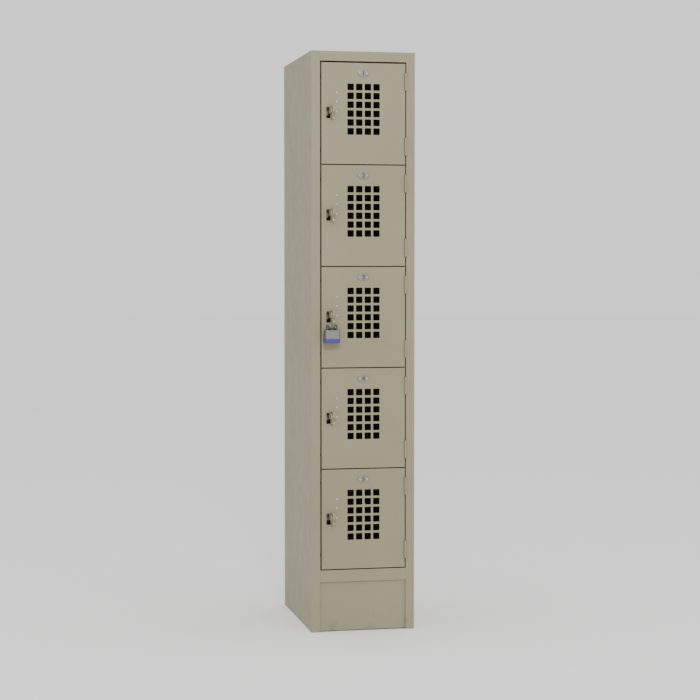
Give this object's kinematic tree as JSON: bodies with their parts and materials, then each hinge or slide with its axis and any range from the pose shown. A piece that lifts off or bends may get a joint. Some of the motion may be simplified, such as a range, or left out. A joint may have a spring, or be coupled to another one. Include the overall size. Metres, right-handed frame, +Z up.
{
  "type": "box locker",
  "caption": "Tall narrow steel box locker: one column of perforated doors with padlock hasps, number plates and knuckle hinges, and a padlock hanging on one door.",
  "frame": {"origin": "on the floor, at the centre of the outline's footprint, which includes the padlock in front and the rivet heads behind", "axes": "+X to the right seen from the front, +Y to the back (the doors face -Y), +Z up"},
  "size_m": [0.305, 0.4942, 1.676],
  "materials": {
    "cabinet_paint": "baked putty-coloured enamel, satin, with a fine orange peel",
    "number_plate": "brushed, with a raised rim and digit",
    "rivet": "plain steel rivets",
    "zinc_plate": "zinc plated",
    "rubber": "soft black rubber",
    "lock_steel": "stacked steel plates, nickel plated",
    "lock_shackle": "darkened hardened steel",
    "lock_bumper": "blue moulded bumper",
    "lock_brass": "turned brass plug"
  },
  "bodies": {
    "cabinet": {"side_panel_right": "cabinet_paint", "side_panel_left": "cabinet_paint", "back_panel": "cabinet_paint", "back_rivets": "rivet", "top_panel": "cabinet_paint", "bottom_panel": "cabinet_paint", "shelf_1": "cabinet_paint", "shelf_2": "cabinet_paint", "shelf_3": "cabinet_paint", "shelf_4": "cabinet_paint", "rear_post_right": "cabinet_paint", "rear_post_left": "cabinet_paint", "foot_plates": "cabinet_paint", "frame_upright_right": "cabinet_paint", "frame_upright_left": "cabinet_paint", "frame_top_rail": "cabinet_paint", "frame_bottom_rail": "cabinet_paint", "frame_cross_rails": "cabinet_paint", "kick_panel": "cabinet_paint", "hasp_tongues": "cabinet_paint", "door_silencers": "rubber", "hinge_frame_leaves": "cabinet_paint", "hinge_pins": "cabinet_paint"},
    "door_1": {"door_1_panel": "cabinet_paint", "door_1_hinge_leaves": "cabinet_paint", "door_1_number_plate": "number_plate", "door_1_rivets": "rivet", "door_1_pull": "cabinet_paint", "door_1_catch": "zinc_plate"},
    "door_2": {"door_2_panel": "cabinet_paint", "door_2_hinge_leaves": "cabinet_paint", "door_2_number_plate": "number_plate", "door_2_rivets": "rivet", "door_2_pull": "cabinet_paint", "door_2_catch": "zinc_plate"},
    "door_3": {"door_3_panel": "cabinet_paint", "door_3_hinge_leaves": "cabinet_paint", "door_3_number_plate": "number_plate", "door_3_rivets": "rivet", "door_3_pull": "cabinet_paint", "door_3_catch": "zinc_plate"},
    "door_4": {"door_4_panel": "cabinet_paint", "door_4_hinge_leaves": "cabinet_paint", "door_4_number_plate": "number_plate", "door_4_rivets": "rivet", "door_4_pull": "cabinet_paint", "door_4_catch": "zinc_plate"},
    "door_5": {"door_5_panel": "cabinet_paint", "door_5_hinge_leaves": "cabinet_paint", "door_5_number_plate": "number_plate", "door_5_rivets": "rivet", "door_5_pull": "cabinet_paint", "door_5_catch": "zinc_plate"},
    "padlock_shackle": {"padlock_shackle": "lock_shackle"},
    "padlock_body": {"padlock_plates": "lock_steel", "padlock_rivets": "lock_steel", "padlock_bumper": "lock_bumper"},
    "padlock_plug": {"padlock_plug": "lock_brass"}
  },
  "joints": [
    {"name": "door_1_swing", "type": "hinge", "parent": "cabinet", "child": "door_1", "pos_m": [0.1256, -0.21303, 1.49865], "axis": [0, 0, 1], "range_deg": [0, 170]},
    {"name": "door_2_swing", "type": "hinge", "parent": "cabinet", "child": "door_2", "pos_m": [0.1256, -0.21303, 1.20595], "axis": [0, 0, 1], "range_deg": [0, 170]},
    {"name": "door_3_swing", "type": "hinge", "parent": "cabinet", "child": "door_3", "pos_m": [0.1256, -0.21303, 0.91325], "axis": [0, 0, 1], "range_deg": [0, 170]},
    {"name": "door_4_swing", "type": "hinge", "parent": "cabinet", "child": "door_4", "pos_m": [0.1256, -0.21303, 0.62055], "axis": [0, 0, 1], "range_deg": [0, 170]},
    {"name": "door_5_swing", "type": "hinge", "parent": "cabinet", "child": "door_5", "pos_m": [0.1256, -0.21303, 0.32785], "axis": [0, 0, 1], "range_deg": [0, 170]},
    {"name": "padlock_swing", "type": "hinge", "parent": "door_3", "child": "padlock_shackle", "pos_m": [-0.09673, -0.22953, 0.90609], "axis": [-1, 0, 0], "range_deg": [0, 75]},
    {"name": "padlock_release", "type": "slide", "parent": "padlock_shackle", "child": "padlock_body", "axis": [0, 0, -1], "range_m": [0, 0.009]},
    {"name": "padlock_key_turn", "type": "hinge", "parent": "padlock_body", "child": "padlock_plug", "pos_m": [-0.09673, -0.22953, 0.84009], "axis": [0, 0, -1], "range_deg": [0, 90]}
  ]
}
